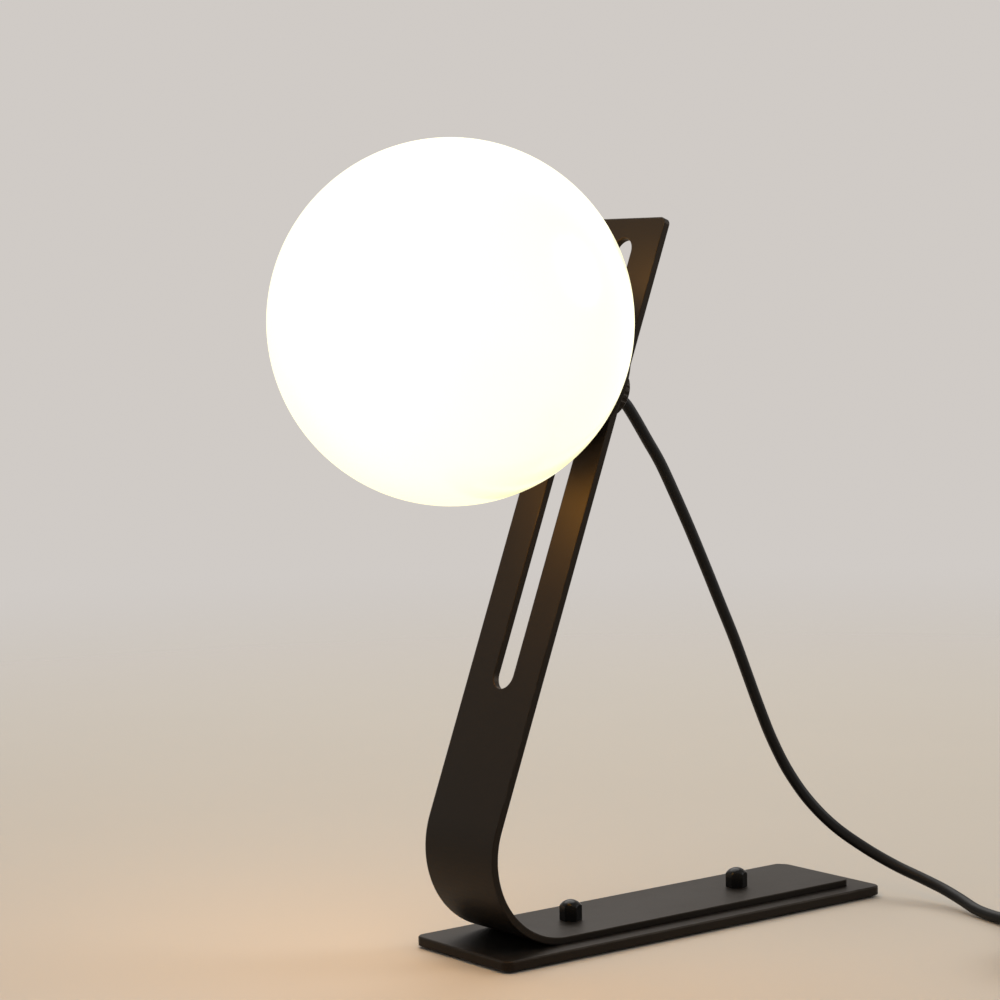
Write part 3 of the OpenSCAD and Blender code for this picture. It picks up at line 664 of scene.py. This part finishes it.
opal, tree, shader = finish(
    "glowing_opal_glass", Roughness=0.22, IOR=1.5, Emission_Strength=8.8,
    Coat_Weight=0.35, Coat_Roughness=0.1)
place = object_place(tree)
globe_mid = (HEAD + GLOBE_U * FORWARD) * MM
from_mid = put(tree, "ShaderNodeVectorMath", {0: place, 1: globe_mid}, operation="SUBTRACT").outputs["Vector"]
near_stand = span(tree, dot(tree, from_mid, STAND_WAY), -GLOBE_R * MM, GLOBE_R * MM)
glow = mix_colour(tree, math_node(tree, "POWER", near_stand, 1.5), GLOW_WARM, GLOW_YELLOW)
slant = put(tree, "ShaderNodeLayerWeight", {"Blend": 0.5}).outputs["Facing"]
soft_glow = mix_colour(tree, span(tree, slant, 0.35, 0.90, ease="SMOOTHSTEP"), glow, GLOW_SLANTED)
lit = span(tree, dot(tree, from_mid, FORWARD), CUP_END, CUP_SHADE_END, ease="SMOOTHSTEP")
swirl = noise(tree, place, 22.0)
feed(
    tree, shader, Emission_Color=mix_colour(tree, lit, GLOW_BEHIND, soft_glow),
    Base_Color=mix_colour(tree, swirl, GLASS_DARK, GLASS_LIGHT))
glass_globe.data.materials.append(opal)
print("finish:", opal.name)

# %% [markdown]
# The cord's jacket is soft black PVC, extruded with a satin skin that is never quite smooth.
# The same jacket covers the plug's ribbed sleeve. A plain black would look like a hole in the picture,
# so the mould texture breaks up its sheen and a trace of dust lies on top.

# %% Black PVC jacket
PVC_DARK, PVC_LIGHT, PVC_DUST = (0.0026, 0.0025, 0.0024), (0.0048, 0.0046, 0.0044), (0.14, 0.13, 0.12)

pvc, tree, shader = finish("black_pvc_jacket", IOR=COAT_IOR)
skin = place_group(tree, mould, Scale=1500.0)
film = place_group(tree, dust, Amount=0.05)
jacket = mix_colour(tree, skin["Tone"], PVC_DARK, PVC_LIGHT)
feed(
    tree, shader, Base_Color=mix_colour(tree, film["Mask"], jacket, PVC_DUST),
    Roughness=span(tree, skin["Tone"], 0.0, 1.0, 0.40, 0.50))
bump(tree, shader, skin["Height"], strength=0.12, distance=0.00005)
for piece in (hanging_cord, stored_cord):
    piece.data.materials.append(pvc)
print("finish:", pvc.name)

# %% [markdown]
# Moulded plastics: the textured black of the switch, plug, bushes and lampholder, the polished rocker,
# the white of the bulb and the contact block, the gasket, the wires' skin and the pad.
# They could each have a material of their own making, but they differ only in colour, gloss and texture,
# so one function makes them all.

# %% Moulded plastics


def moulded(name, dark, light, rough, pit_scale, pit_depth, edge_width=0.0003):
    """A plastic between two colours, with pits of that scale and depth and slightly paler edges."""
    material, tree, shader = finish(name, Specular_IOR_Level=0.5, IOR=1.5)
    skin = place_group(tree, mould, Scale=pit_scale)
    rim = place_group(tree, edge, Width=edge_width)
    body = mix_colour(tree, skin["Tone"], dark, light)
    paler = tuple(min(1.0, 1.8 * v + 0.004) for v in light)
    feed(
        tree, shader, Base_Color=mix_colour(tree, rim["Mask"], body, paler),
        Roughness=span(tree, skin["Tone"], 0.0, 1.0, rough - 0.04, rough + 0.05))
    bump(tree, shader, skin["Height"], strength=pit_depth, distance=0.00008, normal=rim["Normal"])
    return material


black_plastic = moulded(
    "textured_black_plastic", dark=(0.010, 0.010, 0.0098), light=(0.016, 0.0158, 0.0155),
    rough=0.52, pit_scale=2600.0, pit_depth=0.30)
rocker_plastic = moulded(
    "polished_black_plastic", dark=(0.007, 0.007, 0.007), light=(0.011, 0.011, 0.011),
    rough=0.20, pit_scale=1500.0, pit_depth=0.03)
white_plastic = moulded(
    "satin_white_plastic", dark=(0.78, 0.77, 0.73), light=(0.86, 0.85, 0.82),
    rough=0.40, pit_scale=1800.0, pit_depth=0.08)
silicone = moulded(
    "milky_silicone", dark=(0.66, 0.65, 0.61), light=(0.76, 0.75, 0.71),
    rough=0.38, pit_scale=1200.0, pit_depth=0.06)
wire_skin = moulded(
    "brown_wire_skin", dark=(0.16, 0.070, 0.026), light=(0.22, 0.10, 0.040),
    rough=0.42, pit_scale=1500.0, pit_depth=0.05)
foam = moulded(
    "black_foam_pad", dark=(0.014, 0.014, 0.0135), light=(0.026, 0.026, 0.025),
    rough=0.85, pit_scale=1400.0, pit_depth=0.80)
plastics = (black_plastic, rocker_plastic, white_plastic, silicone, wire_skin, foam)
print("finishes:", *(m.name for m in plastics))

# %% [markdown]
# Bare metals: zinc-plated steel for the screws, clips and rivets, brass for the nipple and contacts,
# and bright nickel on the plug's pins. A mirror-smooth metal would look like chrome,
# so fine lines in the bump and a cloudy roughness dull each of them a little.

# %% Bare metals


def bare_metal(name, dark, light, rough, line_depth):
    """A metal between two colours, with machining lines of that depth."""
    material, tree, shader = finish(name, Metallic=1.0)
    cut = place_group(tree, lines)
    rim = place_group(tree, edge, Width=0.0002)
    feed(
        tree, shader, Base_Color=mix_colour(tree, cut["Tone"], dark, light),
        Roughness=span(tree, cut["Tone"], 0.0, 1.0, rough - 0.06, rough + 0.08))
    bump(tree, shader, cut["Height"], strength=line_depth, distance=0.00004, normal=rim["Normal"])
    return material


zinc = bare_metal(
    "zinc_plated_steel", dark=(0.55, 0.56, 0.58), light=(0.68, 0.69, 0.70), rough=0.30, line_depth=0.25)
brass = bare_metal(
    "bare_brass", dark=(0.66, 0.46, 0.18), light=(0.80, 0.60, 0.28), rough=0.28, line_depth=0.25)
nickel = bare_metal(
    "nickel_plate", dark=(0.66, 0.64, 0.60), light=(0.76, 0.74, 0.70), rough=0.18, line_depth=0.15)
print("finishes:", zinc.name, brass.name, nickel.name)

# %% [markdown]
# The strap is woven from black yarn. Single threads could be modelled, but they are finer than a millimetre.
# Two crossed waves, turned in line with the strap, give the over and under of the weave.

# %% Woven strap
YARN_SCALE, YARN_WANDER = 420.0, 0.4
YARN_DARK, YARN_LIGHT = (0.008, 0.008, 0.008), (0.034, 0.033, 0.032)

weave, tree, shader = finish("woven_black_strap", Roughness=0.8, Sheen_Weight=0.3)
turn_values = {"Vector": object_place(tree), "Rotation": (0.0, 0.0, -STRAP_AT)}
along_strap = put(tree, "ShaderNodeMapping", turn_values).outputs["Vector"]
wave_values = {"Vector": along_strap, "Scale": YARN_SCALE, "Distortion": YARN_WANDER}
warp, weft = [
    put(tree, "ShaderNodeTexWave", wave_values, bands_direction=way).outputs["Fac"] for way in ("X", "Y")]
yarn = math_node(tree, "MULTIPLY", warp, weft)
feed(tree, shader, Base_Color=mix_colour(tree, yarn, YARN_DARK, YARN_LIGHT))
bump(tree, shader, yarn, strength=0.7, distance=0.0002)
cord_strap.data.materials.append(weave)
print("finish:", weave.name)

# %% [markdown]
# Each solid now takes the finish of its real counterpart. They could be set one by one,
# but a list of pieces under each finish shows at a glance what is made of what.

# %% Dress the solids
DRESS = {
    coat_on_sheet: ["base_plate", "stand_strip"],
    coat_on_small: ["fitter_cup", "rear_washer", "clamp_knob"],
    lacquer: ["cap_nuts"],
    foam: ["base_pad"],
    zinc: [
        "base_screws", "globe_clips", "clip_rivets", "lock_nut", "bulb_cap", "switch_screws", "rocker_pin"],
    silicone: ["globe_gasket"],
    brass: ["nipple", "screw_shell", "centre_contact", "switch_terminals"],
    black_plastic: [
        "slot_bush", "cord_bush", "holder_cap", "holder_shell", "switch_base", "switch_cover", "plug_body"],
    pvc: ["cord_tail", "plug_relief"],
    wire_skin: ["lamp_wires"],
    white_plastic: ["contact_block", "bulb_housing", "bulb_dome"],
    rocker_plastic: ["switch_rocker"],
    nickel: ["plug_pins"],
}
for material, names in DRESS.items():
    for name in names:
        slots = nodes[name].data.materials
        slots.clear()
        slots.append(material)
print("dressed", sum(len(names) for names in DRESS.values()), "solids")

# %% [markdown]
# The stage is a plain pale floor. A curved backdrop would hide the horizon too,
# but it takes up room behind the lamp.
# Instead the floor turns see-through with distance, so it melts into the pale room
# and no horizon cuts across the lamp. Near the lamp it is solid and keeps the lamp's shadow and glow.

# %% Floor
FLOOR_COLOUR, FLOOR_SHADE = (0.470, 0.432, 0.374), 0.97
FLOOR_SIZE, FLOOR_Z = 12.0, -0.0002
FADE_START, FADE_END = 0.30, 1.5

bpy.ops.mesh.primitive_plane_add(size=FLOOR_SIZE, location=(0, 0, FLOOR_Z))
floor = bpy.context.object
floor.name = "floor"
ground, tree, shader = finish("pale_floor", Roughness=0.75, Specular_IOR_Level=0.2)
place = object_place(tree)
darker = tuple(FLOOR_SHADE * v for v in FLOOR_COLOUR)
feed(tree, shader, Base_Color=mix_colour(tree, noise(tree, place, 6.0), darker, FLOOR_COLOUR))
distance = put(tree, "ShaderNodeVectorMath", {0: place}, operation="LENGTH").outputs["Value"]
fade = span(tree, distance, FADE_START, FADE_END, ease="SMOOTHSTEP")
clear = put(tree, "ShaderNodeBsdfTransparent").outputs[0]
melt = put(tree, "ShaderNodeMixShader", {0: fade, 1: shader.outputs[0], 2: clear}).outputs[0]
feed(tree, tree.nodes["Material Output"], Surface=melt)
floor.data.materials.append(ground)
print("floor laid")

# %% [markdown]
# Light: a pale room gives even fill from all sides, a large soft panel above and behind the lamp
# lightens the level faces, and a smaller one on the right lifts the strip's cut edge.
# Small hard lamps would throw sharp shadows and spots on the glass. The globe adds its own glow.

# %% Light
ROOM_COLOUR = (0.630, 0.595, 0.565)

scene.view_settings.view_transform = "Standard"
world = bpy.data.worlds.new("room")
scene.world = world
world.use_nodes = True
world.node_tree.nodes["Background"].inputs["Color"].default_value = (*ROOM_COLOUR, 1.0)
world.node_tree.nodes["Background"].inputs["Strength"].default_value = 1.0


def soft_panel(name, place, target, size, power, colour):
    """A round area light that shines at the target, unseen by the camera."""
    light = bpy.data.lights.new(name, "AREA")
    light.shape, light.size, light.energy, light.color = "DISK", size, power, colour
    panel = add_object(name, light)
    panel.location = place
    panel.rotation_euler = (Vector(target) - Vector(place)).to_track_quat("-Z", "Y").to_euler()
    panel.visible_camera = False
    return panel


panels = [
    soft_panel(
        "overhead_panel", place=(0.40, 0.80, 1.35), target=(0, 0, 0),
        size=1.5, power=14.5, colour=(1.0, 0.98, 0.95)),
    soft_panel(
        "right_panel", place=(1.3, -0.9, 0.9), target=(0, 0, 0.15),
        size=0.9, power=8.0, colour=(0.96, 0.98, 1.0)),
]
print("lit by the room,", " and ".join(panel.name for panel in panels))
